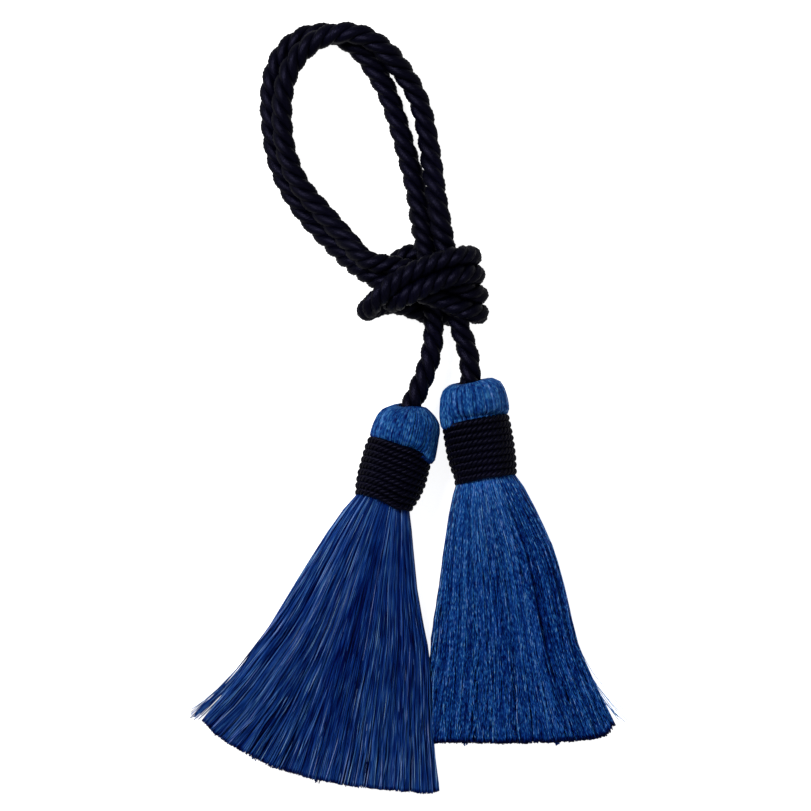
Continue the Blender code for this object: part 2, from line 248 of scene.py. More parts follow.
frontCord = {
    "tassel leg": [(19.9, 5.4, 10.7), (19.6, 7.9, 10.7), (19.5, 12.2, 10.4), (18.6, 18.1, 9.8),
                   (16.6, 23.7, 9.4)],
    "through the knot": [(15.0, 29.3, 9.3), (14.1, 35.5, 9.3), (13.1, 42.3, 9.6), (11.8, 49.8, 11.6)],
    "right leg": [(10.3, 56.6, 10.8), (9.1, 64.6, 9.0), (8.0, 72.7, 7.2), (6.9, 80.4, 5.6),
                  (5.1, 90.1, 4.6), (2.4, 98.1, 4.8), (-1.9, 104.6, 5.8)],
    "loop top": [(-5.9, 109.6, 7.9), (-11.5, 114.1, 9.6), (-17.7, 115.9, 10.1), (-23.6, 115.4, 10.1),
                 (-29.8, 112.4, 9.6), (-34.3, 108.0, 9.2)],
    "left leg": [(-37.2, 102.5, 9.2), (-38.5, 96.6, 9.2), (-38.8, 90.4, 9.2), (-38.2, 82.0, 9.2),
                 (-36.1, 74.6, 9.2), (-32.5, 67.5, 9.2), (-27.2, 61.5, 9.4), (-22.2, 55.5, 10.6),
                 (-17.0, 49.8, 13.4)],
    "first crossing": [(-13.2, 44.8, 16.6), (-9.0, 43.0, 16.6), (-3.7, 42.1, 15.8), (1.8, 41.2, 15.5),
                       (7.4, 39.5, 15.5), (13.6, 37.4, 15.4), (18.6, 35.5, 14.2)],
    "down the right": [(21.7, 34.3, 11.5), (22.3, 34.3, 8.0), (20.4, 34.6, 4.6), (16.1, 34.7, 3.0)],
    "behind": [(10.5, 34.9, 3.0), (5.6, 35.2, 3.8), (0.9, 35.2, 6.5), (-2.5, 34.1, 9.8)],
    "up the left": [(-4.7, 33.0, 14.0), (-4.4, 33.0, 18.5), (-2.2, 34.3, 21.2)],
    "front wrap": [(1.8, 36.1, 21.7), (6.8, 38.0, 21.7), (12.1, 39.5, 21.6), (17.3, 40.6, 19.8)],
    "down the top right": [(20.1, 40.6, 15.5), (20.9, 40.3, 10.0), (19.1, 40.6, 5.0), (15.2, 40.8, 3.0)],
    "tucked behind": [(9.6, 40.9, 3.0), (4.2, 41.1, 3.0)],
}
cordFold = [(-1.6, 46.9, 3.0), (-3.7, 44.3, 3.0), (-1.2, 41.5, 3.0)]


def evenSpacing(points, step):
    along = np.r_[0, np.cumsum(np.linalg.norm(np.diff(points, axis=0), axis=1))]
    places = np.linspace(0, along[-1], int(round(along[-1] / step)) + 1)
    return np.stack([np.interp(places, along, points[:, axis]) for axis in range(3)], axis=1)


def smoothCurve(points, step, parts=12):
    # a Catmull-Rom curve through the points, at even steps
    ends = np.vstack([2 * points[0] - points[1], points, 2 * points[-1] - points[-2]])
    t = np.linspace(0, 1, parts, endpoint=False)[:, None]
    curve = []
    for before, start, end, after in zip(ends, ends[1:], ends[2:], ends[3:]):
        curve.append(0.5 * (2 * start + (end - before) * t
                            + (2 * before - 5 * start + 4 * end - after) * t ** 2
                            + (3 * start - before - 3 * end + after) * t ** 3))
    return evenSpacing(np.vstack(curve + [points[-1:]]), step)


def cordRadii(points):
    fromKnot = (points[:, :2] - cord["knotCentre"]) / cord["knotHalfSize"]
    t = rampUp(np.linalg.norm(fromKnot, axis=1), 1, cord["knotEasing"])
    return cord["knotRadius"] + (cord["radius"] - cord["knotRadius"]) * t * t * (3 - 2 * t)


def settlePasses(route):
    # ease the bends, and push the passes apart until they only rest on each other
    points = route.copy()
    count = len(points)
    first, second = np.triu_indices(count, int(cord["nearestAlong"] / cord["routeStep"]))
    pinned = cord["pinnedPoints"]
    for _ in range(cord["settleRounds"]):
        radii = cordRadii(points)
        bend = np.zeros_like(points)
        bend[1:-1] = (points[:-2] + points[2:]) / 2 - points[1:-1]
        stiff = np.zeros_like(points)
        stiff[1:-1] = (bend[:-2] + bend[2:]) / 2 - bend[1:-1]
        points -= cord["settleStiffness"] * stiff
        for _ in range(cord["settlePushes"]):
            apart = points[second] - points[first]
            distance = np.linalg.norm(apart, axis=1)
            missing = radii[first] + radii[second] + cord["gap"] - distance
            close = missing > 0
            i, j = first[close], second[close]
            push = apart[close] * (missing[close] / distance[close] / 4)[:, None]
            contacts = np.bincount(i, minlength=count) + np.bincount(j, minlength=count)
            move = np.zeros_like(points)
            np.add.at(move, i, -push)
            np.add.at(move, j, push)
            points += move / np.maximum(1, cord["contactShare"] * contacts)[:, None]
        points[:, 2] = np.maximum(points[:, 2], radii + cord["aboveTable"])
        points += (route - points) * cord["settleHoming"]
        points[:pinned] = route[:pinned]
        points[-pinned:] = route[-pinned:]
    return points


def cordRoute():
    back = [point for stretch in backCord.values() for point in stretch]
    front = [point for stretch in frontCord.values() for point in stretch]
    points = np.array(back + cordFold + front[::-1])
    return settlePasses(smoothCurve(points, cord["routeStep"]))


def carriedFrames(points):
    # a direction across the route that never twists round it
    anyWay = (0.3, 0.5, 0.8)
    ways = unit(np.gradient(points, axis=0))
    normal = unit(np.cross(ways[0], anyWay))
    normals = []
    for way in ways:
        normal = unit(normal - way * (normal @ way))
        normals.append(normal)
    return ways, np.array(normals)


def twistedPlies(line, radii, lay, build):
    # each ply is a tube on a left-handed helix round the line, ridged by its yarns
    plies, sides = build["plies"], build["plySides"]
    ways, normals = carriedFrames(line)
    across = np.cross(ways, normals)
    steps = np.linalg.norm(np.diff(line, axis=0), axis=1)
    along = np.r_[0, np.cumsum(steps)]
    lay = np.broadcast_to(lay, along.shape)
    turns = np.r_[0, np.cumsum(2 * steps / (lay[1:] + lay[:-1]))]
    plyRadii = radii * build["plyShare"]
    turn = 2 * pi * (np.arange(plies)[:, None] / plies - turns[None, :])
    outward = np.cos(turn)[..., None] * normals + np.sin(turn)[..., None] * across
    paths = line + outward * (radii - plyRadii)[None, :, None]
    around = np.linspace(0, 2 * pi, sides, endpoint=False)
    phase = build["yarns"] * (around[None, :] - 2 * pi * along[:, None] / build["yarnLay"])
    relief = build["yarnRelief"]
    section = np.broadcast_to(1 + relief * np.cos(phase) - relief, (plies, len(line), sides))
    # the ply's cross-section keeps facing away from the line
    points, faces = tubes(paths, plyRadii[None, :], sides, np.cross(ways, outward), section)
    plyShift = 1000.0            # no two plies have the same filaments
    run = along[None, :, None] + plyShift * np.arange(plies)[:, None, None]
    layers = {"ridge": np.cos(phase)[None], "flank": np.sin(phase)[None], "run": run}
    return points, faces, {key: np.broadcast_to(value, section.shape) for key, value in layers.items()}


cordLook = {
    "filaments": 2.6,            # noise scale round a yarn
    "patches": 70.0,             # a metre: the dye changes every 14 mm or so
    "filamentShare": 0.55,       # of the colour, the rest is patches
    "yarnGrooveShade": (-1.0, 0.4, -0.22, 0.0),         # painted shade where the yarns dip: yarn relief from and to, darker by and to
    "stops": [(0.28, "#000005"), (0.48, "#01010a"), (0.66, "#06051a")],
    "gloss": (0.3, 0.7, 0.25, 0.46),            # filament noise from and to, roughness from and to
    "bump": {"Strength": 0.55, "Distance": 0.00015},
    "specular": 0.27,
    "tint": "#8a86b8",
}


def rangeOf(lowest, highest, first, last):
    return {"From Min": lowest, "From Max": highest, "To Min": first, "To Max": last}


def cordMaterial(name, runScale):
    # viscose cord, twisted: near-black navy with soft satin lights, broken by the fine yarns of each ply,
    # with painted shade where the yarns dip
    material, tree, shader = newMaterial(name)
    ridge, flank, run = [addNode(tree, "ShaderNodeAttribute", {"attribute_name": key})
                         for key in ("ridge", "flank", "run")]
    runPlace = addNode(tree, "ShaderNodeMath", {"operation": "MULTIPLY"}, {1: runScale}, [(0, run, "Fac")])
    onYarn = addNode(tree, "ShaderNodeCombineXYZ",
                     links=[("X", ridge, "Fac"), ("Y", flank, "Fac"), ("Z", runPlace, "Value")])
    # real filaments are too fine to show, so these are drawn coarser: fine round the yarns, long down them
    filaments = addNode(tree, "ShaderNodeTexNoise", inputs={"Scale": cordLook["filaments"], "Detail": 3.0},
                        links=[("Vector", onYarn, "Vector")])
    place = addNode(tree, "ShaderNodeTexCoord")
    patches = addNode(tree, "ShaderNodeTexNoise", inputs={"Scale": cordLook["patches"], "Detail": 3.0},
                      links=[("Vector", place, "Object")])
    both = addNode(tree, "ShaderNodeMix", {"data_type": "FLOAT"}, {"Factor": cordLook["filamentShare"]},
                   [("A", patches, "Fac"), ("B", filaments, "Fac")])
    # painted shade: darker where the yarn relief dips between the yarns
    yarnGrooveShade = addNode(tree, "ShaderNodeMapRange", inputs=rangeOf(*cordLook["yarnGrooveShade"]),
                      links=[("Value", ridge, "Fac")])
    total = addNode(tree, "ShaderNodeMath", {"operation": "ADD"},
                    links=[(0, both, "Result"), (1, yarnGrooveShade, "Result")])
    ramp = addNode(tree, "ShaderNodeValToRGB", links=[("Fac", total, "Value")], stops=cordLook["stops"])
    rough = addNode(tree, "ShaderNodeMapRange", inputs=rangeOf(*cordLook["gloss"]),
                    links=[("Value", filaments, "Fac")])
    bump = addNode(tree, "ShaderNodeBump", inputs=cordLook["bump"], links=[("Height", filaments, "Fac")])
    tree.links.new(ramp.outputs["Color"], shader.inputs["Base Color"])
    tree.links.new(rough.outputs["Result"], shader.inputs["Roughness"])
    tree.links.new(bump.outputs["Normal"], shader.inputs["Normal"])
    shader.inputs["Specular IOR Level"].default_value = cordLook["specular"]
    shader.inputs["Specular Tint"].default_value = hexColour(cordLook["tint"])
    return material


def makeRope(material):
    route = cordRoute()
    fine = smoothCurve(route, cord["drawStep"], parts=4)
    radii = cordRadii(fine)
    squeezed = (cord["radius"] - radii) / (cord["radius"] - cord["knotRadius"])
    radii = radii + cord["crest"] + cord["knotCrest"] * squeezed
    for x, y, reach, more in cord["swells"]:
        radii += more * np.exp(-((fine[:, 0] - x) ** 2 + (fine[:, 1] - y) ** 2) / reach ** 2)
    lay = cord["lay"] + (cord["knotLay"] - cord["lay"]) * squeezed
    points, faces, layers = twistedPlies(fine, radii, lay, cord)
    points[:, 2] = np.maximum(points[:, 2], 0.0)
    rope = makeMesh("rope", points * mm, faces, layers)
    finishPiece(rope, material, "cord")
    length = np.linalg.norm(np.diff(fine, axis=0), axis=1).sum()
    return length


ropeLength = makeRope(cordMaterial("twistedViscoseCord", cord["filamentRun"]))
print(f"cord: {ropeLength:.0f} mm of three-ply rope")


# Tassels: where each one is, and its surface as the frame gives it

tassels = {
    "left": {
        "hole": (1.5, 0.8),      # where the cord goes in
        "direction": -15.5,      # degrees from -Y towards +X
        "headEnd": 13.7,
        "collar": (14.0, 31.0),
        "fullSections": 111.0,   # the skirt's sections are whole up to here
        "seed": 11,
    },
    "right": {
        "hole": (19.5, 7.9),
        "direction": 8.3,
        "headEnd": 11.5,
        "collar": (11.8, 29.2),
        "fullSections": 108.4,
        "seed": 23,
    },
}
axisHeight = 10.8                # the middle of heads and collars above the table
lean = 0.12                      # the collars' tops lie nearer the cord
# rays feel the frame's solids from outside
rays = {
    "beside": (-0.013, 0.017),   # radians off each angle, so that none runs along an edge
    "around": 60.0,              # how far off they start
    "sideways": 80.0,
    "above": 60.0,
    "below": -20.0,
    "beyondHem": 150.0,
}

# where the windings' first and last rows lie beyond the frame's collar, as (place across, mm)
collarEdges = {
    "left": {"first": [(-1.0, -1.2), (-0.5, -0.3), (0.0, 0.3), (0.45, 0.3), (0.75, 0.9), (1.0, 1.3)],
             "last": [(-1.0, 0.3), (-0.3, 0.8), (0.2, 1.9), (0.5, 2.6), (1.0, 1.6)]},
    "right": {"first": [(-1.0, 1.0), (0.0, 1.1), (1.0, 0.7)],
              "last": [(-1.0, 2.0), (-0.5, 2.3), (0.0, 2.1), (0.5, 2.3), (1.0, 2.0)]},
}


def fromTable(rows, places):
    table = np.array(rows)
    return np.interp(places, table[:, 0], table[:, 1])


def blend(table, row, t, column, s):
    # the table's value past a whole row and column by the shares t and s; the last column meets the first
    after = (column + 1) % table.shape[1]
    ends = [table[r, column] * (1 - s) + table[r, after] * s for r in (row, row + 1)]
    return ends[0] * (1 - t) + ends[1] * t


class TasselSurface:
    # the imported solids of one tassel, in its own axes: along, across, height, all in mm

    def __init__(self, side, tassel):
        self.side = side
        self.tassel = tassel
        turn = radians(tassel["direction"])
        self.origin = np.array([*tassel["hole"], 0.0])
        self.axes = np.array([[sin(turn), -cos(turn), 0], [cos(turn), sin(turn), 0], [0, 0, 1]])
        self.yarn = self.tree(f"{side}_tassel_yarn")
        self.collar = self.tree(f"{side}_tassel_collar")

    def tree(self, node):
        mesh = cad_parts[node].data
        co = np.zeros(len(mesh.vertices) * 3)
        mesh.vertices.foreach_get("co", co)
        local = self.toLocal(co.reshape(-1, 3) / mm)
        return BVHTree.FromPolygons(local.tolist(), [tuple(p.vertices) for p in mesh.polygons])

    def toLocal(self, points):
        return (points - self.origin) @ self.axes.T

    def toFrame(self, points):
        return points @ self.axes + self.origin

    def atAngle(self, along, radius, angle):
        # in the frame, from places round the tassel's axis
        height = axisHeight + radius * np.sin(angle)
        return self.toFrame(np.stack([along, radius * np.cos(angle), height], axis=-1))

    def hit(self, tree, start, way):
        found = tree.ray_cast(Vector(start), Vector(way))[0]
        return None if found is None else np.array(found)

    def radiusAt(self, tree, along, angle):
        # from outside towards the tassel's axis
        reached = [0.0]
        for turn in rays["beside"]:
            way = np.array([0.0, cos(angle + turn), sin(angle + turn)])
            found = self.hit(tree, np.array([along, 0, axisHeight]) + rays["around"] * way, -way)
            if found is not None:
                reached.append(float((found - (along, 0, axisHeight)) @ way))
        return max(reached)


def collarRadius(surface, row, angle):
    # the rows lean, so on top the same row is met nearer the cord
    return surface.radiusAt(surface.collar, row - lean * axisHeight * sin(angle), angle)


surfaces = {side: TasselSurface(side, tassel) for side, tassel in tassels.items()}
print("tassels: surfaces read from the frame")


# Skirts: thousands of threads, hung from under the collar to the cut hem

skirt = {
    # how the frame's skirt is sampled
    "rows": 40,
    "columns": 61,
    "startGap": 0.8,             # the first row lies this far past the collar
    "edgeHeights": (1.5, 2.5, 3.5, 4.5, 6.0, 8.0, 10.8),
    "rowWidth": 0.995,           # just inside the edges
    "hemWidth": 0.985,
    "hemHeights": (1.0, 2.0, 3.0),
    "hemBeyond": 8.0,            # past the last row, if no ray meets the hem
    "hemReach": 2,               # columns to each side, of which the longest tip counts
    "hemSmooth": 3,              # columns to each side, over which the hem is evened out
    "hemTrim": 0.4,
    # how the threads lie; widths and drifts across are in half widths of the skirt
    "threadSides": 3,
    "topShare": 0.68,            # of the threads, where they show from above
    "edgeShare": 0.11,
    "edgeWidth": 0.03,
    "shallowest": 0.25,
    "depth": 1.9,                # the top threads lie up to this much deeper
    "depthPower": 1.5,
    "deepest": 0.45,             # of the skirt's thickness
    "edgeDepth": (0.1, 0.7),     # least, and up to this much more
    "strayDepth": 0.12,
    "wander": 0.026,             # how far a thread drifts across
    "wanderPivot": 0.3,          # where along it, it is in its own place
    "strays": 0.07,              # share of threads that cross the others
    "strayWander": 0.08,
    "locks": 13,                 # threads gather into this many loose locks
    "lockShift": (1.3, 2.7),     # how far the locks leave even places, and how often
    "lockFade": (0.4, 4.1),      # how unequal they are, and how often that changes
    "gather": 0.018,
    "lockDepth": 0.9,
    "lockFull": 0.5,             # where along the threads they are at their full depth
    "fanPower": 1.2,
    "turnUnder": 0.06,           # threads fanned out past an edge turn under it over this width
    "hemRagged": 0.15,
    "underShorter": 0.8,         # the threads underneath
    "underShare": 0.3,           # which are those less than this share of the way up to the top
    "underCollar": 3.0,          # the threads start this far inside the collar
    "neckShrink": 0.22,          # drawn in to pass under the collar
    "neckStart": 0.9,
    "neckOver": 1.6,
    "touchPower": 6,             # the higher, the less of the side presses over to the other skirt
    "touchAlong": (0.44, 0.14),  # where along the threads it begins, and over how much it grows
    "cornerPower": 5,
    "cornerAlong": (0.74, 0.26),
    "radii": (0.75, 1.15),       # finest and coarsest thread, times the usual one
    # tones: 0 is the darkest dye and 1 the lightest
    "tone": 0.49,
    # painted shade: threads lying deeper, under the others, are darker by up to this much
    "depthShade": 0.16,
    "brightShare": 0.07,
    "brightTone": 0.17,
    # painted shade: the threads round the sides are darker by this much
    "edgeShade": 0.10,
    # painted shade: darker by up to this much where the locks part
    "lockGrooveShade": 0.12,
    "valleyLength": 1.1,
    "hemShadeFrom": 0.99,             # painted shade along the cut hem, from here on
}
# what differs between the two; places across run from -1 at the left edge to 1 at the right
skirtMarks = {
    "left": {
        "threads": 2600,
        "threadRadius": 0.20,
        "stations": 12,          # points along each thread
        "hemStation": 0.985,     # the last one before the cut
        # how much longer the threads are, as (place across, mm)
        "hem": [(-1.0, -1.3), (-0.93, -0.3), (-0.85, 0.4), (-0.7, 0.6), (-0.3, 1.3), (0.0, 0.8), (0.5, 0.0),
                (0.8, 0.3), (0.92, 0.8), (1.0, -0.4)],
        "corners": (0.0, 1.0),   # how far the two corners reach out
        # how far the left edge lies inside the frame's, which follows the wisps there, as (along, mm)
        "inset": [(87.0, 0.0), (94.0, 0.9), (100.0, 1.9), (106.0, 2.6), (111.0, 1.3)],
        # threads fan out to a side: side, place across where none do and where all do, where along them
        # it begins and ends, how far
        "fans": [(-1, -0.05, -0.40, 0.45, 1.0, 0.20)],
        "twist": 0.22,           # of the threads, against the right skirt's crinkled ones; the higher, the closer their painted highlights and dye changes
        "waver": 0.12,           # height of their waves
        "waveLength": (24.0, 50.0),
        "toneSpread": 0.13,
        "tone": [(0.0, -0.08), (0.35, -0.02), (0.6, -0.03), (1.0, 0.0)],            # along them
        "footTone": [(-1.0, -0.02), (0.0, -0.02), (0.6, 0.07), (1.0, 0.07)],        # across, at the hem
        # painted shade along the cut hem, darker by this much
        "hemShade": -0.40,
        "valleyShades": [(0.05, 0.16, 0.20), (0.58, 0.25, 0.13)],     # painted shade of a long hollow down the skirt: place across, half width, darker by
        "facing": 1,             # the side of the other skirt
        "touch": 0.80,           # how far this one presses over to it
        "wisps": {"edge": -1, "count": 32, "leaves": (0.60, 0.80), "outward": (2.4, 5.6), "radius": 0.16,
                  "longer": (-3.2, 0.3), "tones": (-0.35, 0.30)},
        "tufts": [(0.06, 7, 1.3), (-0.45, 4, 0.8)],              # place across, how many, past the hem by
    },
    "right": {
        "threads": 2050,
        "threadRadius": 0.24,
        "stations": 15,
        "hemStation": 0.980,
        "hem": [(-1.0, 0.2), (-0.6, -0.5), (-0.2, -0.7), (0.2, -0.2), (0.5, 0.5), (0.8, 1.1), (0.92, 0.6),
                (1.0, -1.8)],
        "corners": (0.0, 0.6),
        "inset": [(0.0, 0.0)],
        "fans": [(-1, 0.35, -0.45, 0.55, 1.0, 0.20), (1, -0.50, 0.0, 0.0, 0.32, 0.13)],
        "twist": 1.5,
        "waver": 0.30,
        "waveLength": (11.0, 26.0),
        "toneSpread": 0.11,
        "tone": [(0.0, 0.10), (0.3, 0.05), (0.6, 0.0), (1.0, -0.01)],
        "footTone": [(-1.0, 0.02), (0.0, 0.01), (1.0, 0.07)],
        "hemShade": -0.75,
        "valleyShades": [(0.55, 0.10, 0.15), (0.75, 0.25, 0.05), (-0.15, 0.14, 0.05)],
        "facing": -1,
        "touch": 1.25,
        "wisps": {"edge": 1, "count": 8, "leaves": (0.72, 0.86), "outward": (1.4, 5.6), "radius": 0.10,
                  "longer": (-5.0, -1.0), "tones": (0.20, 0.60)},
        "tufts": [(-0.67, 5, 1.0), (0.35, 6, 1.2)],
    },
}


class SkirtShape:
    # half widths, top, underside and hem of one skirt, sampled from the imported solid

    def __init__(self, surface):
        self.surface = surface
        self.marks = skirtMarks[surface.side]
        self.collarEnd = surface.tassel["collar"][1]
        self.start = self.collarEnd + skirt["startGap"]
        self.end = surface.tassel["fullSections"]
        self.alongs = np.linspace(self.start, self.end, skirt["rows"])
        self.us = np.linspace(-1, 1, skirt["columns"])
        self.right = np.array([self.reach(along, 1) for along in self.alongs])
        self.left = np.array([self.reach(along, -1) for along in self.alongs])
        self.left -= fromTable(self.marks["inset"], self.alongs)
        self.top = np.zeros((len(self.alongs), len(self.us)))
        self.under = np.zeros_like(self.top)
        for i, along in enumerate(self.alongs):
            for j, u in enumerate(self.us * skirt["rowWidth"]):
                across = self.acrossAt(u, self.left[i], self.right[i])
                above = surface.hit(surface.yarn, (along, across, rays["above"]), (0, 0, -1))
                below = surface.hit(surface.yarn, (along, across, rays["below"]), (0, 0, 1))
                self.top[i, j] = above[2] if above is not None else self.top[i, j - 1]
                self.under[i, j] = below[2] if below is not None else self.under[i, j - 1]
        self.hem = self.smoothHem() + (fromTable(self.marks["hem"], self.us) - skirt["hemTrim"])

    def smoothHem(self):
        # through the tips of the solid's comb
        wide = skirt["hemWidth"]
        across = [self.acrossAt(u, self.left[-1], self.right[-1]) * wide for u in self.us]
        tips = np.array([self.hemAt(x) for x in across])
        reach, smooth = skirt["hemReach"], skirt["hemSmooth"]
        longest = np.array([tips[max(0, k - reach):k + reach + 1].max() for k in range(len(tips))])
        window = 2 * smooth + 1
        return np.convolve(np.pad(longest, smooth, mode="edge"), np.ones(window) / window, mode="valid")

    def reach(self, along, sign):
        found = [self.surface.hit(self.surface.yarn, (along, sign * rays["sideways"], z), (0, -sign, 0))
                 for z in skirt["edgeHeights"]]
        return max(sign * point[1] for point in found if point is not None)

    def acrossAt(self, u, left, right):
        return np.where(u > 0, u * right, u * left)

    def hemAt(self, across):
        found = [self.surface.hit(self.surface.yarn, (rays["beyondHem"], across, z), (-1, 0, 0))
                 for z in skirt["hemHeights"]]
        return max([point[0] for point in found if point is not None] or [self.end + skirt["hemBeyond"]])

    def sample(self, table, along, u):
        # bilinear in along and u, carried on past the last row at the slope it has there
        row = (along - self.start) / (self.end - self.start) * (len(self.alongs) - 1)
        lower = np.clip(np.floor(row), 0, len(self.alongs) - 2).astype(int)
        t = np.maximum(row, 0) - lower
        if table.ndim == 1:
            return table[lower] * (1 - t) + table[lower + 1] * t
        column = (np.clip(u, -1, 1) + 1) / 2 * (len(self.us) - 1)
        first = np.clip(np.floor(column), 0, len(self.us) - 2).astype(int)
        return blend(table, lower, t, first, column - first)

    def startsAt(self, u, share):
        # the collar's edge leans, so threads on top start nearer the cord
        height = self.sample(self.top, self.start, u) * share
        edge = fromTable(collarEdges[self.surface.side]["last"], u)
        return self.collarEnd - lean * (height - axisHeight) + edge

    def point(self, f, u, share, depth, longer=0.0, outward=0.0):
        # f runs from the collar to the hem; share is 1 on top and 0 underneath; depth goes inwards; longer
        # is past the hem, and outward across
        begins = self.startsAt(u, share)
        hem = np.interp(u, self.us, self.hem) + longer
        along = begins - skirt["underCollar"] + f * (hem - begins + skirt["underCollar"])
        top = self.sample(self.top, along, u)
        under = np.maximum(self.sample(self.under, along, u), 0)
        left, right = self.sample(self.left, along, u), self.sample(self.right, along, u)
        edge = np.clip(1 - depth / np.maximum(np.minimum(left, right), 1), 0, 1)
        across = self.acrossAt(u, left, right) * (1 - (1 - edge) * np.abs(u)) + outward
        facing = self.marks["facing"]
        press = self.marks["touch"] * np.clip(u * facing, 0, 1) ** skirt["touchPower"]
        across = across + facing * (press * rampUp(f, *skirt["touchAlong"]))
        toLeft, toRight = self.marks["corners"]
        reach = np.where(u > 0, toRight, -toLeft)
        across = across + reach * np.abs(u) ** skirt["cornerPower"] * rampUp(f, *skirt["cornerAlong"]) ** 2
        inside = np.minimum(depth, skirt["deepest"] * (top - under))
        height = (top - inside) * share + (under + inside) * (1 - share)
        # drawn in to pass under the collar
        kept = 1 - skirt["neckShrink"] * rampUp(begins + skirt["neckStart"] - along, 0, skirt["neckOver"])
        return np.stack([along, across * kept, axisHeight + (height - axisHeight) * kept], axis=-1)


dye = {
    "length": 16.0,              # it changes this slowly along a thread
    "spread": 0.16,
    "noise": (0.25, 0.75),       # the noise's usual lowest and highest
    "glintDarkShare": 0.9,            # the painted glints' darker dashes are a little weaker than their lighter ones
    "strandShift": 900.0,        # gives each thread its own part of the noise
    "violet": "#ffb8f4",
    "violetShare": (0.50, 0.72, 0.0, 0.45),     # noise from and to, share from and to
    "tint": "#6fb2f2",
}
# a thread's twist gives a glint about every so many mm, set in each look below, coarser than the real one,
# which wouldn't show;
# these glints are painted highlights, lighter and darker dashes in the thread's colour
threadLooks = {
    "leftDyedRayonThread": {
        "stops": [(0.0, "#010029"), (0.25, "#020e55"), (0.50, "#0f3986"), (0.72, "#3765a5"),
                  (1.0, "#7da2cd")],
        "roughness": 0.36, "specular": 0.15, "paintedGlintLength": 2.2, "paintedGlintContrast": 0.31},
    "rightDyedRayonThread": {
        "stops": [(0.0, "#01032e"), (0.25, "#02145e"), (0.50, "#0c3d8c"), (0.72, "#2a6bb1"),
                  (1.0, "#70a4d7")],
        "roughness": 0.36, "specular": 0.15, "paintedGlintLength": 2.2, "paintedGlintContrast": 0.31},
    # painted shade: the same dye made darker for the threads and yarns under the outer ones
    "shadedInnerRayonThread": {
        "stops": [(0.0, "#01021a"), (0.5, "#020c33"), (1.0, "#062562")],
        "roughness": 0.60, "specular": 0.05, "paintedGlintLength": 3.0, "paintedGlintContrast": 0.20},
    "twistedRayonYarn": {
        "stops": [(0.0, "#03022f"), (0.25, "#051254"), (0.50, "#104183"), (0.75, "#3b77ac"),
                  (1.0, "#86b2d8")],
        "roughness": 0.44, "specular": 0.10, "paintedGlintLength": 1.5, "paintedGlintContrast": 0.20},
}


def threadMaterial(name):
    # rayon thread, bright-dyed and combed straight: silky, with painted highlights broken along each thread,
    # and here and there one that has taken the dye a little more violet
    look = threadLooks[name]
    material, tree, shader = newMaterial(name)
    tone, run, strand = [addNode(tree, "ShaderNodeAttribute", {"attribute_name": key})
                         for key in ("tone", "run", "strand")]
    number = addNode(tree, "ShaderNodeMath", {"operation": "MULTIPLY"}, {1: dye["strandShift"]},
                     [(0, strand, "Fac")])
    noises, shifts = [], []
    # the first noise paints the twist's glints, as highlights and darker dashes; the second is the dye's slow
    # change along the thread
    for length, darker, lighter in (
            (look["paintedGlintLength"], -dye["glintDarkShare"] * look["paintedGlintContrast"], look["paintedGlintContrast"]),
            (dye["length"], -dye["spread"], dye["spread"])):
        place = addNode(tree, "ShaderNodeMath", {"operation": "MULTIPLY"}, {1: 1 / length}, [(0, run, "Fac")])
        at = addNode(tree, "ShaderNodeCombineXYZ", links=[("X", place, "Value"), ("Y", number, "Value")])
        noises.append(addNode(tree, "ShaderNodeTexNoise", {"noise_dimensions": "2D"},
                              {"Scale": 1.0, "Detail": 1.0}, [("Vector", at, "Vector")]))
        shifts.append(addNode(tree, "ShaderNodeMapRange", inputs=rangeOf(*dye["noise"], darker, lighter),
                              links=[("Value", noises[-1], "Fac")]))
    shift = addNode(tree, "ShaderNodeMath", {"operation": "ADD"},
                    links=[(0, shifts[0], "Result"), (1, shifts[1], "Result")])
    total = addNode(tree, "ShaderNodeMath", {"operation": "ADD"},
                    links=[(0, tone, "Fac"), (1, shift, "Value")])
    ramp = addNode(tree, "ShaderNodeValToRGB", links=[("Fac", total, "Value")], stops=look["stops"])
    share = addNode(tree, "ShaderNodeMapRange", inputs=rangeOf(*dye["violetShare"]),
                    links=[("Value", noises[1], "Fac")])
    violet = addNode(tree, "ShaderNodeMix", {"data_type": "RGBA", "blend_type": "MULTIPLY"},
                     {"Factor": 1.0, "B": hexColour(dye["violet"])}, [("A", ramp, "Color")])
    tinted = addNode(tree, "ShaderNodeMix", {"data_type": "RGBA", "blend_type": "MIX"}, links=[
        ("Factor", share, "Result"), ("A", ramp, "Color"), ("B", violet, "Result")])
    tree.links.new(tinted.outputs["Result"], shader.inputs["Base Color"])
    shader.inputs["Roughness"].default_value = look["roughness"]
    shader.inputs["Specular IOR Level"].default_value = look["specular"]
    shader.inputs["Specular Tint"].default_value = hexColour(dye["tint"])
    return material


def lockPhase(u, phases):
    # a loose comb across the skirt, none of its teeth quite alike
    shift, often = skirt["lockShift"]
    return pi * skirt["locks"] * u + phases[0] + shift * np.sin(often * pi * u + phases[1])


def lockWave(u, phases):
    fade, often = skirt["lockFade"]
    return np.cos(lockPhase(u, phases)) * (1 - fade + fade * np.cos(often * pi * u + phases[2]))


def fanned(us, f, fans):
    # threads drift to one side on their way down
    places = us
    for side, still, full, begins, ends, much in fans:
        share = rampUp(us, still, full - still)
        places = places + side * much * share * rampUp(f, begins, ends - begins) ** skirt["fanPower"]
    return places


def skirtStations(marks):
    # evenly down a thread, and one more at its cut end
    return np.r_[np.linspace(0, marks["hemStation"], marks["stations"] - 1), 1.0]


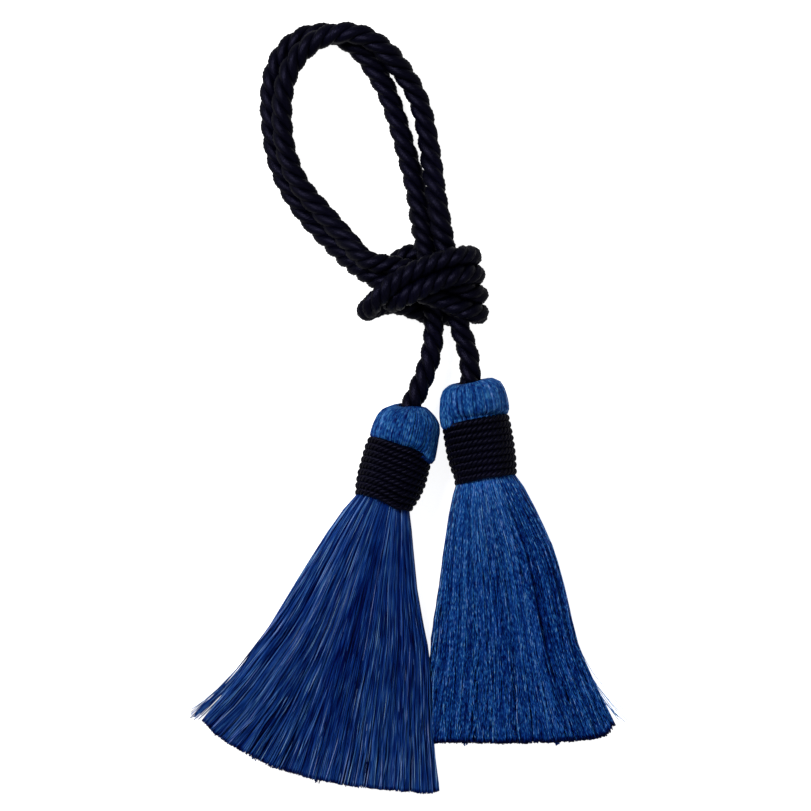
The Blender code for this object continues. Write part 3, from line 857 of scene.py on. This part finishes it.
def spreadThreads(shape, phases, rng):
    # places of the threads, as paths in the tassel's own axes, and their tones
    marks = shape.marks
    count = marks["threads"]
    kind = rng.random(count)
    onTop = kind < skirt["topShare"]
    onEdge = (kind >= skirt["topShare"]) & (kind < skirt["topShare"] + skirt["edgeShare"])
    u = rng.uniform(-1, 1, count)
    u[onEdge] = np.sign(u[onEdge]) * (1 - skirt["edgeWidth"] * rng.random(onEdge.sum()))
    share = np.where(onTop, 1.0, 0.0)
    share[onEdge] = rng.random(onEdge.sum())
    depth = skirt["shallowest"] + skirt["depth"] * rng.random(count) ** skirt["depthPower"]
    stray = rng.random(count) < skirt["strays"]
    drift = rng.normal(0, skirt["wander"], count)
    drift[stray] = rng.normal(0, skirt["strayWander"], stray.sum())
    depth[stray] = skirt["strayDepth"] * rng.random(stray.sum())
    least, more = skirt["edgeDepth"]
    depth[onEdge] = least + more * rng.random(onEdge.sum())
    halfWidth = 0.5 * (shape.left[len(shape.left) // 2] + shape.right[len(shape.right) // 2])
    waver = rng.normal(0, marks["waver"], count) / halfWidth
    waves = (shape.end - shape.start) / rng.uniform(*marks["waveLength"], count)
    turn = rng.uniform(0, 2 * pi, count)

    f = skirtStations(marks)[None, :]
    us = u[:, None] + drift[:, None] * (f - skirt["wanderPivot"])
    us += waver[:, None] * np.sin(2 * pi * waves[:, None] * f + turn[:, None]) * np.sqrt(f)
    us = np.clip(us + skirt["gather"] * np.sin(lockPhase(us, phases)) * np.sqrt(f), -1, 1)
    groove = np.clip(-lockWave(us, phases), 0, 1)
    depths = depth[:, None] + skirt["lockDepth"] * groove * np.minimum(1, f / skirt["lockFull"])
    longer = rng.normal(0, skirt["hemRagged"], count) - skirt["underShorter"] * (share < skirt["underShare"])
    us = fanned(us, f, marks["fans"])
    # those that drift past an edge go on underneath
    shares = share[:, None] * (1 - rampUp(np.abs(us), 1, skirt["turnUnder"]))
    us = np.clip(us, -1, 1)
    paths = shape.point(f, us, shares, depths, longer[:, None])
    return paths, threadTones(marks, f, us, depth, onEdge, groove, rng)


def threadTones(marks, f, us, depth, onEdge, groove, rng):
    # painted shade: darker deeper down, at the edges, where the locks part, in a few strips down the skirt
    # and at the cut ends; and some threads brighter at random
    count = len(depth)
    tone = skirt["tone"] + rng.normal(0, marks["toneSpread"], count)
    tone -= skirt["depthShade"] * (depth - skirt["shallowest"]) / skirt["depth"]
    tone[rng.random(count) < skirt["brightShare"]] += skirt["brightTone"]
    tone[onEdge] -= skirt["edgeShade"]
    # painted shade, as if in a few long hollows down the skirt
    valley = sum(darker * np.exp(-((us - place) / width) ** 2) for place, width, darker in marks["valleyShades"])
    valley = valley * np.sin(pi * np.clip(f * skirt["valleyLength"], 0, 1))
    tones = tone[:, None] - skirt["lockGrooveShade"] * groove - valley + fromTable(marks["tone"], f)
    tones += fromTable(marks["footTone"], us) * f ** 3
    # painted shade along the cut hem
    return tones + marks["hemShade"] * (f > skirt["hemShadeFrom"])


looseEnds = {
    "wispPower": 1.6,            # how they curve away from the edge
    "wispWidth": 0.05,           # they start this near to it
    "wispShare": 0.35,           # of the way up to the top
    "wispDepth": 0.1,
    "wispTone": 0.5,
    "tuftPlace": 0.010,          # how unevenly they start
    "tuftDrift": 0.006,
    "tuftShare": 0.8,
    "tuftDepth": 0.2,
    "tuftReach": (0.4, 1.0),
    "tuftTone": (0.30, 0.08),    # middle and spread
}


def looseThreads(shape, rng):
    # wisps that leave an edge, and small tufts that pass the hem
    marks = shape.marks
    wisps = marks["wisps"]
    f = skirtStations(marks)
    paths, tones, radii = [], [], []
    for k in range(wisps["count"]):
        leaves = rng.uniform(*wisps["leaves"])
        bend = rampUp(f, leaves, 1 - leaves) ** looseEnds["wispPower"]
        outward = wisps["edge"] * rng.uniform(*wisps["outward"]) * bend
        u = wisps["edge"] * (1 - looseEnds["wispWidth"] * rng.random())
        longer = rng.uniform(*wisps["longer"])
        paths.append(shape.point(f, u, looseEnds["wispShare"], looseEnds["wispDepth"], longer, outward))
        tones.append(looseEnds["wispTone"] + rng.uniform(*wisps["tones"]))
        radii.append(wisps["radius"])
    middle, spread = looseEnds["tuftTone"]
    for place, count, reach in marks["tufts"]:
        for k in range(count):
            u = place + rng.normal(0, looseEnds["tuftPlace"]) + rng.normal(0, looseEnds["tuftDrift"]) * f
            longer = reach * rng.uniform(*looseEnds["tuftReach"])
            paths.append(shape.point(f, u, looseEnds["tuftShare"], looseEnds["tuftDepth"], longer))
            tones.append(middle + rng.normal(0, spread))
            radii.append(marks["threadRadius"])
    return np.array(paths), np.repeat(np.array(tones)[:, None], len(f), axis=1), np.array(radii)


def makeSkirt(side, surface, material, fillMaterial):
    rng = np.random.default_rng(surface.tassel["seed"])
    shape = SkirtShape(surface)
    marks = shape.marks
    phases = rng.uniform(0, 2 * pi, 3)
    paths, tones = spreadThreads(shape, phases, rng)
    loose, looseTones, looseRadii = looseThreads(shape, rng)
    paths = surface.toFrame(np.concatenate([paths, loose]))
    tones = np.concatenate([tones, looseTones])
    radius = np.r_[np.full(marks["threads"], marks["threadRadius"]), looseRadii]
    radius = (radius * rng.uniform(*skirt["radii"], len(paths)))[:, None]
    paths[..., 2] = np.maximum(paths[..., 2], radius)
    makeThreads(f"{side}TasselSkirt", paths, radius, skirt["threadSides"], surface.axes[1], tones, rng,
                material, f"{side}_tassel_yarn", marks["twist"])
    makeSkirtFill(side, surface, shape, phases, fillMaterial)
    makeCutEnds(side, surface, shape, material)


cutEnds = {
    "count": 1600,
    "radius": 0.30,
    "radii": (0.7, 1.1),         # times that
    "stations": (0.94, 0.98, 1.0),
    "width": 0.97,
    "shares": (0.03, 0.72),      # of the way up to the top
    "longer": (-0.8, -0.15),
    "depth": 0.4,
    "tone": (0.24, 0.10),        # middle and spread
    "seedShift": 200,
}


def makeCutEnds(side, surface, shape, material):
    # the ends of the threads packed between top and underside
    rng = np.random.default_rng(surface.tassel["seed"] + cutEnds["seedShift"])
    each = (cutEnds["count"], 1)
    f = np.tile(cutEnds["stations"], each)
    u = rng.uniform(-cutEnds["width"], cutEnds["width"], each)
    share = rng.uniform(*cutEnds["shares"], each)
    longer = rng.uniform(*cutEnds["longer"], each)
    paths = surface.toFrame(shape.point(f, u, share, cutEnds["depth"], longer))
    radius = cutEnds["radius"] * rng.uniform(*cutEnds["radii"], each)
    paths[..., 2] = np.maximum(paths[..., 2], radius)
    makeThreads(f"{side}TasselCutEnds", paths, radius, skirt["threadSides"], surface.axes[1],
                rng.normal(*cutEnds["tone"], each), rng, material)


skirtFill = {
    "width": 0.97,
    "columns": 49,
    "rows": 26,
    "depth": 1.3,                # under the loose threads
    "lockDepth": 0.6,            # and this much more between the locks
    "longer": -0.8,
    "aboveTable": 0.3,
    "tone": (0.40, 0.25),        # middle, and how much it is painted darker between the locks and lighter on them
    "run": 90.0,                 # about its length
}


def makeSkirtFill(side, surface, shape, phases, material):
    # the imported threads inside, as one closed form under the loose ones, made dark as painted shade
    us = np.linspace(-skirtFill["width"], skirtFill["width"], skirtFill["columns"])
    stations = np.linspace(0, 1, skirtFill["rows"])
    ringU = np.r_[us, us[::-1]]
    ringShare = np.r_[np.ones(len(us)), np.zeros(len(us))]
    count = len(ringU)
    wave = lockWave(ringU, phases)
    depth = skirtFill["depth"] + skirtFill["lockDepth"] * np.clip(-wave, 0, 1)
    rings = [shape.point(f, ringU, ringShare, depth, skirtFill["longer"]) for f in stations]
    points = surface.toFrame(np.concatenate(rings))
    points[:, 2] = np.maximum(points[:, 2], skirtFill["aboveTable"])
    k = np.arange(len(us) - 1)
    capStart = np.stack([k, k + 1, count - 2 - k, count - 1 - k], axis=-1)
    capEnd = (len(stations) - 1) * count + capStart[:, ::-1]
    middle, spread = skirtFill["tone"]
    layers = {"tone": middle + spread * np.tile(wave, len(stations)),
              "run": np.repeat(stations * skirtFill["run"], count),
              "strand": np.tile((ringU + 1) / 2, len(stations))}
    # the ring runs backwards round the skirt
    walls = ringQuads(len(stations), count)[:, [1, 0, 3, 2]]
    fill = makeMesh(f"{side}TasselFill", points * mm, [walls, capStart, capEnd], layers)
    finishPiece(fill, material)


rayon = {side: threadMaterial(f"{side}DyedRayonThread") for side in tassels}
rayonInside = threadMaterial("shadedInnerRayonThread")
for side, surface in surfaces.items():
    makeSkirt(side, surface, rayon[side], rayonInside)
print("skirts: threads hung")


# Heads: yarns drawn from the cord over the round core and down under the collar

head = {
    "yarns": 118,
    "second": 70,                # loose yarns on top of the first layer
    "yarnRadius": 0.38,
    "yarnSides": 6,
    "radii": (0.85, 1.10),       # times that
    "fullRadius": 9.0,           # where the head is narrower than this, the yarns are finer
    "finest": 0.45,
    "steps": 18,                 # points along each
    "mouth": 3.75,               # the hole's radius
    "mouthLine": [(0.9, 0.0), (0.25, 0.25)],    # along, past the hole's radius
    "tuckGap": 0.5,
    "tuckLobe": 0.2,             # and this much more where the head hangs over
    "tuckLine": [(0.0, -0.8), (0.6, -2.3)],     # along, past the collar's radius
    "collarProbe": 3.0,          # past the collar's edge, where its radius is taken
    "profilePoints": 24,         # along the head, closest at the crown
    "profileStart": 0.002,
    "profileAngles": 48,
    "lobeGain": 1.4,
    "lobeAlong": (0.55, 0.35),   # it swells from here, over this share of the head
    "leastLobe": 0.15,           # a weaker one doesn't hang over
    "dipSpread": 1.2,            # radians
    "dipLength": 4.0,
    "uneven": 0.012,             # radians, the yarns' places
    "slants": (0.03, 0.10),      # of the first and second layers
    "lift": 0.16,                # of the second layer
    "rough": 0.05,               # how unevenly they stand out
    "tone": (0.50, 0.05),        # middle and spread
    "brightShare": 0.10,
    "brightTone": 0.10,
    "collarShade": 0.40,
    "collarShadeAlong": (0.84, 0.12),
    "mouthShade": 0.20,
    "mouthShadeOver": 0.12,
    "seedShift": 100,
}
# where a head hangs over its collar: middle angle and spread in degrees, reach and height
lobes = {"left": (8.0, 30.0, 0.8, 0.6), "right": (165.0, 30.0, 0.8, 0.4)}
# where the crown sinks beside the cord: how deep, and the middle of it round the head in radians
crownDip = {"left": (1.8, 2.6), "right": (0.8, 2.0)}


def headProfile(surface, angles):
    # [angle, step, (along, radius)] from the cord's mouth to under the collar
    middle, spread, reach, proud = lobes[surface.side]
    deepest, dipMiddle = crownDip[surface.side]
    quarter = np.linspace(0.0, pi / 2, head["profilePoints"])
    fractions = np.r_[head["profileStart"], 1 - np.cos(quarter)[1:]]
    rows = []
    for angle in angles:
        end = surface.tassel["headEnd"] + float(fromTable(collarEdges[surface.side]["first"], cos(angle)))
        alongs = end * fractions
        away = (np.degrees(angle) - middle + 180) % 360 - 180
        lobe = np.exp(-(away / spread) ** 2)
        dip = deepest * np.exp(-((angle - dipMiddle) / head["dipSpread"]) ** 2)
        radii = np.array([surface.radiusAt(surface.yarn, along, angle) for along in alongs])
        edge = surface.radiusAt(surface.collar, end + head["collarProbe"], angle)
        fuller = np.maximum(radii, edge + proud) - radii
        radii += min(1.0, head["lobeGain"] * lobe) * fuller * rampUp(alongs / end, *head["lobeAlong"])
        sunk = alongs + dip * np.clip(1 - alongs / head["dipLength"], 0, 1)
        over = [(end + reach * lobe, edge + proud * lobe)] if lobe > head["leastLobe"] else []
        back = end + head["tuckGap"] + (reach + head["tuckLobe"]) * lobe
        line = np.vstack([*[(along + dip, head["mouth"] + past) for along, past in head["mouthLine"]],
                          np.column_stack([sunk, radii]), *over,
                          *[(back + along, edge + past) for along, past in head["tuckLine"]]])
        run = np.r_[0, np.cumsum(np.linalg.norm(np.diff(line, axis=0), axis=1))]
        places = np.linspace(0, run[-1], head["steps"])
        rows.append(np.column_stack([np.interp(places, run, column) for column in line.T]))
    return np.array(rows)


def makeHead(side, surface, material, fillMaterial):
    rng = np.random.default_rng(surface.tassel["seed"] + head["seedShift"])
    gridAngles = np.linspace(0, 2 * pi, head["profileAngles"], endpoint=False)
    grid = headProfile(surface, gridAngles)

    def profileAt(angle):
        place = (angle % (2 * pi)) / (2 * pi) * len(gridAngles)
        lower = np.floor(place).astype(int) % len(gridAngles)
        t = (place - np.floor(place))[..., None]
        step = np.broadcast_to(np.arange(head["steps"]), lower.shape)
        return grid[lower, step] * (1 - t) + grid[(lower + 1) % len(gridAngles), step] * t

    count = head["yarns"] + head["second"]
    firstLayer = np.arange(count) < head["yarns"]
    angle = np.where(firstLayer, np.arange(count) / head["yarns"] * 2 * pi, rng.uniform(0, 2 * pi, count))
    angle += rng.normal(0, head["uneven"], count)
    f = np.linspace(0, 1, head["steps"])[None, :]
    slant = np.where(firstLayer, *[rng.normal(0, spread, count) for spread in head["slants"]])
    angles = angle[:, None] + slant[:, None] * (f - 0.5)
    profile = profileAt(angles)
    size = head["yarnRadius"] * rng.uniform(*head["radii"], count)[:, None]
    size = size * np.clip(profile[..., 1] / head["fullRadius"], head["finest"], 1.0)
    lift = np.where(firstLayer, 0.0, head["lift"])[:, None]
    radius = profile[..., 1] - size + lift + rng.normal(0, head["rough"], count)[:, None]
    paths = surface.atAngle(profile[..., 0], radius, angles)
    around = np.stack([0 * angles, -np.sin(angles), np.cos(angles)], axis=-1) @ surface.axes
    middle, spread = head["tone"]
    tone = middle + rng.normal(0, spread, count)
    tone[rng.random(count) < head["brightShare"]] += head["brightTone"]
    tones = tone[:, None] - head["collarShade"] * rampUp(f, *head["collarShadeAlong"])
    tones = tones - head["mouthShade"] * np.clip(head["mouthShadeOver"] - f, 0, 1) / head["mouthShadeOver"]
    makeThreads(f"{side}TasselHead", paths, size, head["yarnSides"], around, tones, rng, material)
    makeHeadFill(side, surface, grid, gridAngles, fillMaterial)


headFill = {
    "inside": 0.5,               # under the outer yarns
    "neckInside": 1.7,           # under the collar
    "neckEnds": (3.5, -1.0),     # from the collar's two ends
    "neckRows": 5,
    "deepEnd": (5.0, 6.0),       # past the collar, and its radius
    "tone": 0.35,
}


def makeHeadFill(side, surface, grid, gridAngles, material):
    # the imported yarn just under the outer ones, carried on as the neck through the collar, made dark as
    # painted shade
    inner = grid.copy()
    inner[..., 1] -= headFill["inside"]
    start, end = surface.tassel["collar"]
    afterStart, afterEnd = headFill["neckEnds"]
    neckRows = np.linspace(start + afterStart, end + afterEnd, headFill["neckRows"])
    neck = np.array([[(along, collarRadius(surface, along, angle) - headFill["neckInside"])
                      for along in neckRows] for angle in gridAngles])
    beyond, deepRadius = headFill["deepEnd"]
    deep = np.broadcast_to((end + beyond, deepRadius), (len(gridAngles), 1, 2))
    profile = np.concatenate([inner[:, :-1], neck, deep], axis=1)
    rings = surface.atAngle(profile[..., 0].T, profile[..., 1].T, gridAngles)
    steps, count = rings.shape[:2]
    walls = ringQuads(steps, count)
    here = np.arange(count)
    caps = [here[::-1][None, :], ((steps - 1) * count + here)[None, :]]
    layers = {"tone": np.full(count * steps, headFill["tone"]), "run": np.repeat(np.arange(steps), count),
              "strand": np.tile(gridAngles / (2 * pi), steps)}
    fill = makeMesh(f"{side}TasselHeadFill", rings.reshape(-1, 3) * mm, [walls, *caps], layers)
    finishPiece(fill, material)


rayonHead = threadMaterial("twistedRayonYarn")
for side, surface in surfaces.items():
    makeHead(side, surface, rayonHead, rayonInside)
print("heads: yarns laid over")


# Collars: fine twisted cord wound round the neck in close rows

collar = {
    "rows": 9,
    "crowd": 1.35,               # the rows are pressed into each other
    "proud": 0.1,                # past the frame's collar
    "meanRadius": 10.5,
    "plies": 3,
    "lay": 4.9,                  # one turn of the fine cord's plies
    "plyShare": 0.48,
    "yarns": 3,
    "yarnLay": 5.0,
    "yarnRelief": 0.04,
    "plySides": 10,
    "filamentRun": 0.9,
    "drawStep": 0.42,
    # how the frame's collar is sampled
    "gridAngles": 72,
    "gridRows": 12,
    "gridMargin": 0.4,
    "lastRow": 0.001,            # places stay this much before it, so that a row comes after them
}


def makeCollar(side, surface, material):
    start, end = surface.tassel["collar"]
    rise = (end - start) / collar["rows"]
    cordRadius = rise / 2 * collar["crowd"]
    grid = np.linspace(0, 2 * pi, collar["gridAngles"], endpoint=False)
    rows = np.linspace(start + collar["gridMargin"], end - collar["gridMargin"], collar["gridRows"])
    table = np.array([[collarRadius(surface, row, angle) for angle in grid] for row in rows])
    allTurns = collar["rows"] * 2 * pi
    count = int(allTurns * collar["meanRadius"] / collar["drawStep"])
    # the ends tuck in underneath
    angle = np.linspace(-pi / 2, allTurns - pi / 2, count)
    row = start + rise * (angle + pi / 2) / (2 * pi)
    edges = collarEdges[side]
    share = (row - start) / (end - start)
    shift = (fromTable(edges["first"], np.cos(angle)) * (1 - share)
             + fromTable(edges["last"], np.cos(angle)) * share)
    column = (angle % (2 * pi)) / (2 * pi) * len(grid)
    low = np.floor(column).astype(int) % len(grid)
    line = (row + shift - rows[0]) / (rows[-1] - rows[0]) * (len(rows) - 1)
    line = np.clip(line, 0, len(rows) - 1 - collar["lastRow"])
    first = np.floor(line).astype(int)
    outer = blend(table, first, line - first, low, column - np.floor(column))
    radius = outer - cordRadius + collar["proud"]
    path = surface.atAngle(row + shift - lean * radius * np.sin(angle), radius, angle)
    points, faces, layers = twistedPlies(path, np.full(count, cordRadius), collar["lay"], collar)
    points[:, 2] = np.maximum(points[:, 2], 0.0)
    piece = makeMesh(f"{side}TasselCollar", points * mm, faces, layers)
    finishPiece(piece, material, f"{side}_tassel_collar")


collarMaterial = cordMaterial("woundViscoseCord", collar["filamentRun"])
for side, surface in surfaces.items():
    makeCollar(side, surface, collarMaterial)
print("collars: wound")


# Table and light

studio = {
    "floor": "#f4f4f5",
    "floorGlow": 0.88,           # a lit table, so shadows stay faint
    "floorSize": 3.0,            # metres, as are the lights' places and sizes
    "floorRoughness": 0.9,
    "grain": {"Scale": 900.0, "Detail": 2.0},   # about 1.1 mm, coarser than real paper's, which wouldn't show
    "bump": {"Strength": 0.05, "Distance": 0.0001},
    "white": "#ffffff",
    # place, size, energy
    "lights": {"key": ((-0.7, 0.55, 1.1), 0.6, 16.0), "fill": ((0.8, -0.5, 1.2), 1.2, 1.6)},
    "worldStrength": 0.28,
}


def makeFloor():
    # matt paper: its grain only breaks the light a little
    material, tree, shader = newMaterial("mattePaperSweep")
    place = addNode(tree, "ShaderNodeTexCoord")
    grain = addNode(tree, "ShaderNodeTexNoise", inputs=studio["grain"], links=[("Vector", place, "Object")])
    bump = addNode(tree, "ShaderNodeBump", inputs=studio["bump"], links=[("Height", grain, "Fac")])
    tree.links.new(bump.outputs["Normal"], shader.inputs["Normal"])
    shader.inputs["Base Color"].default_value = hexColour(studio["floor"])
    shader.inputs["Emission Color"].default_value = hexColour(studio["white"])
    shader.inputs["Emission Strength"].default_value = studio["floorGlow"]
    shader.inputs["Roughness"].default_value = studio["floorRoughness"]
    half = studio["floorSize"] / 2
    corners = [(-half, -half, 0), (half, -half, 0), (half, half, 0), (-half, half, 0)]
    floor = makeMesh("table", corners, [np.array([[0, 1, 2, 3]])])
    floor.data.materials.append(material)
    # the cord and threads don't mirror the lit table
    floor.visible_glossy = False


def makeLight(name, place, size, energy):
    # aimed at the middle of the table
    lamp = bpy.data.lights.new(name, "AREA")
    lamp.size = size
    lamp.energy = energy
    item = bpy.data.objects.new(name, lamp)
    item.location = place
    item.rotation_euler = (-Vector(place)).to_track_quat("-Z", "Y").to_euler()
    bpy.context.scene.collection.objects.link(item)


def makeStudio():
    makeFloor()
    for name, (place, size, energy) in studio["lights"].items():
        makeLight(name, place, size, energy)
    world = bpy.data.worlds.new("studio")
    world.use_nodes = True
    background = world.node_tree.nodes["Background"]
    background.inputs["Color"].default_value = hexColour(studio["white"])
    background.inputs["Strength"].default_value = studio["worldStrength"]
    bpy.context.scene.world = world
    bpy.context.scene.view_settings.view_transform = "Standard"


makeStudio()
print("studio: table and lights")
